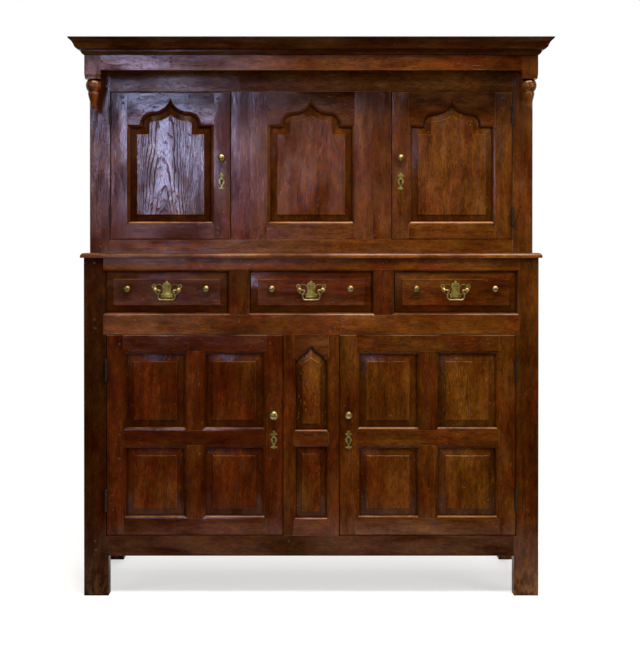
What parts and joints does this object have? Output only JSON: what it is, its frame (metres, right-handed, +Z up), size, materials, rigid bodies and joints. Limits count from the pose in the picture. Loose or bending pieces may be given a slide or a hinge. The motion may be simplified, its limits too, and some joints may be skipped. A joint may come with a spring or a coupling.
{
  "type": "court cupboard",
  "caption": "Two-stage joined oak press cupboard: ogee-arched upper doors behind a frieze with turned pendants, a row of drawers with swan-neck bails, and panelled lower doors.",
  "frame": {"origin": "on the floor, under the middle of the overall box", "axes": "+X to the viewer's right, +Y to the back, +Z up; the front faces -Y"},
  "size_m": [1.57, 0.587, 1.814],
  "materials": {
    "waxed_oak": "dark oak, waxed and worn",
    "dry_oak": "unpolished oak, dry",
    "brass": "old brass, rubbed",
    "iron": "wrought iron, dark"
  },
  "bodies": {
    "carcass": {"lower_posts": "waxed_oak", "lower_front_rails": "waxed_oak", "lower_muntins": "waxed_oak", "lower_centre_panels": "waxed_oak", "lower_side_and_back_rails": "waxed_oak", "lower_side_panels": "waxed_oak", "lower_back_boards": "dry_oak", "floor_boards": "dry_oak", "drawer_runners": "dry_oak", "waist_boards": "waxed_oak", "upper_posts": "waxed_oak", "upper_front_rails": "waxed_oak", "upper_muntins": "waxed_oak", "upper_centre_frame": "waxed_oak", "upper_centre_panel": "waxed_oak", "upper_side_and_back_rails": "waxed_oak", "upper_side_panels": "waxed_oak", "upper_back_boards": "dry_oak", "frieze_rails": "waxed_oak", "corner_pendants": "waxed_oak", "cornice": "waxed_oak", "roof_boards": "dry_oak", "door_stops": "dry_oak", "fixed_hinge_leaves": "iron"},
    "upper_left_door": {"upper_left_door_frame": "waxed_oak", "upper_left_door_panels": "waxed_oak", "upper_left_door_knob_and_escutcheon": "brass", "upper_left_door_hinge_leaves": "iron", "upper_left_door_lock": "iron"},
    "upper_left_bolt": {"upper_left_door_bolt": "iron"},
    "upper_right_door": {"upper_right_door_frame": "waxed_oak", "upper_right_door_panels": "waxed_oak", "upper_right_door_knob_and_escutcheon": "brass", "upper_right_door_hinge_leaves": "iron", "upper_right_door_lock": "iron"},
    "upper_right_bolt": {"upper_right_door_bolt": "iron"},
    "lower_left_door": {"lower_left_door_frame": "waxed_oak", "lower_left_door_panels": "waxed_oak", "lower_left_door_knob_and_escutcheon": "brass", "lower_left_door_hinge_leaves": "iron", "lower_left_door_lock": "iron"},
    "lower_left_bolt": {"lower_left_door_bolt": "iron"},
    "lower_right_door": {"lower_right_door_frame": "waxed_oak", "lower_right_door_panels": "waxed_oak", "lower_right_door_knob_and_escutcheon": "brass", "lower_right_door_hinge_leaves": "iron", "lower_right_door_lock": "iron"},
    "lower_right_bolt": {"lower_right_door_bolt": "iron"},
    "left_drawer": {"left_drawer_front": "waxed_oak", "left_drawer_box": "dry_oak", "left_drawer_brasses": "brass"},
    "left_bail": {"left_drawer_bail": "brass"},
    "centre_drawer": {"centre_drawer_front": "waxed_oak", "centre_drawer_box": "dry_oak", "centre_drawer_brasses": "brass"},
    "centre_bail": {"centre_drawer_bail": "brass"},
    "right_drawer": {"right_drawer_front": "waxed_oak", "right_drawer_box": "dry_oak", "right_drawer_brasses": "brass"},
    "right_bail": {"right_drawer_bail": "brass"}
  },
  "joints": [
    {"name": "upper_left_door_hinge", "type": "hinge", "parent": "carcass", "child": "upper_left_door", "pos_m": [-0.6704, -0.1408, 1.407], "axis": [0, 0, -1], "range_deg": [0, 95]},
    {"name": "upper_left_bolt_throw", "type": "slide", "parent": "upper_left_door", "child": "upper_left_bolt", "axis": [1, 0, 0], "range_m": [0, 0.01]},
    {"name": "upper_right_door_hinge", "type": "hinge", "parent": "carcass", "child": "upper_right_door", "pos_m": [0.6704, -0.1408, 1.407], "axis": [0, 0, 1], "range_deg": [0, 95]},
    {"name": "upper_right_bolt_throw", "type": "slide", "parent": "upper_right_door", "child": "upper_right_bolt", "axis": [-1, 0, 0], "range_m": [0, 0.01]},
    {"name": "lower_left_door_hinge", "type": "hinge", "parent": "carcass", "child": "lower_left_door", "pos_m": [-0.6674, -0.2508, 0.524], "axis": [0, 0, -1], "range_deg": [0, 110]},
    {"name": "lower_left_bolt_throw", "type": "slide", "parent": "lower_left_door", "child": "lower_left_bolt", "axis": [1, 0, 0], "range_m": [0, 0.01]},
    {"name": "lower_right_door_hinge", "type": "hinge", "parent": "carcass", "child": "lower_right_door", "pos_m": [0.6674, -0.2508, 0.524], "axis": [0, 0, 1], "range_deg": [0, 110]},
    {"name": "lower_right_bolt_throw", "type": "slide", "parent": "lower_right_door", "child": "lower_right_bolt", "axis": [-1, 0, 0], "range_m": [0, 0.01]},
    {"name": "left_drawer_slide", "type": "slide", "parent": "carcass", "child": "left_drawer", "axis": [0, -1, 0], "range_m": [0, 0.36]},
    {"name": "left_bail_swing", "type": "hinge", "parent": "left_drawer", "child": "left_bail", "pos_m": [-0.47, -0.2581, 0.99585], "axis": [-1, 0, 0], "range_deg": [-12, 88]},
    {"name": "centre_drawer_slide", "type": "slide", "parent": "carcass", "child": "centre_drawer", "axis": [0, -1, 0], "range_m": [0, 0.36]},
    {"name": "centre_bail_swing", "type": "hinge", "parent": "centre_drawer", "child": "centre_bail", "pos_m": [0, -0.2581, 0.99585], "axis": [-1, 0, 0], "range_deg": [-12, 88]},
    {"name": "right_drawer_slide", "type": "slide", "parent": "carcass", "child": "right_drawer", "axis": [0, -1, 0], "range_m": [0, 0.36]},
    {"name": "right_bail_swing", "type": "hinge", "parent": "right_drawer", "child": "right_bail", "pos_m": [0.47, -0.2581, 0.99585], "axis": [-1, 0, 0], "range_deg": [-12, 88]}
  ]
}
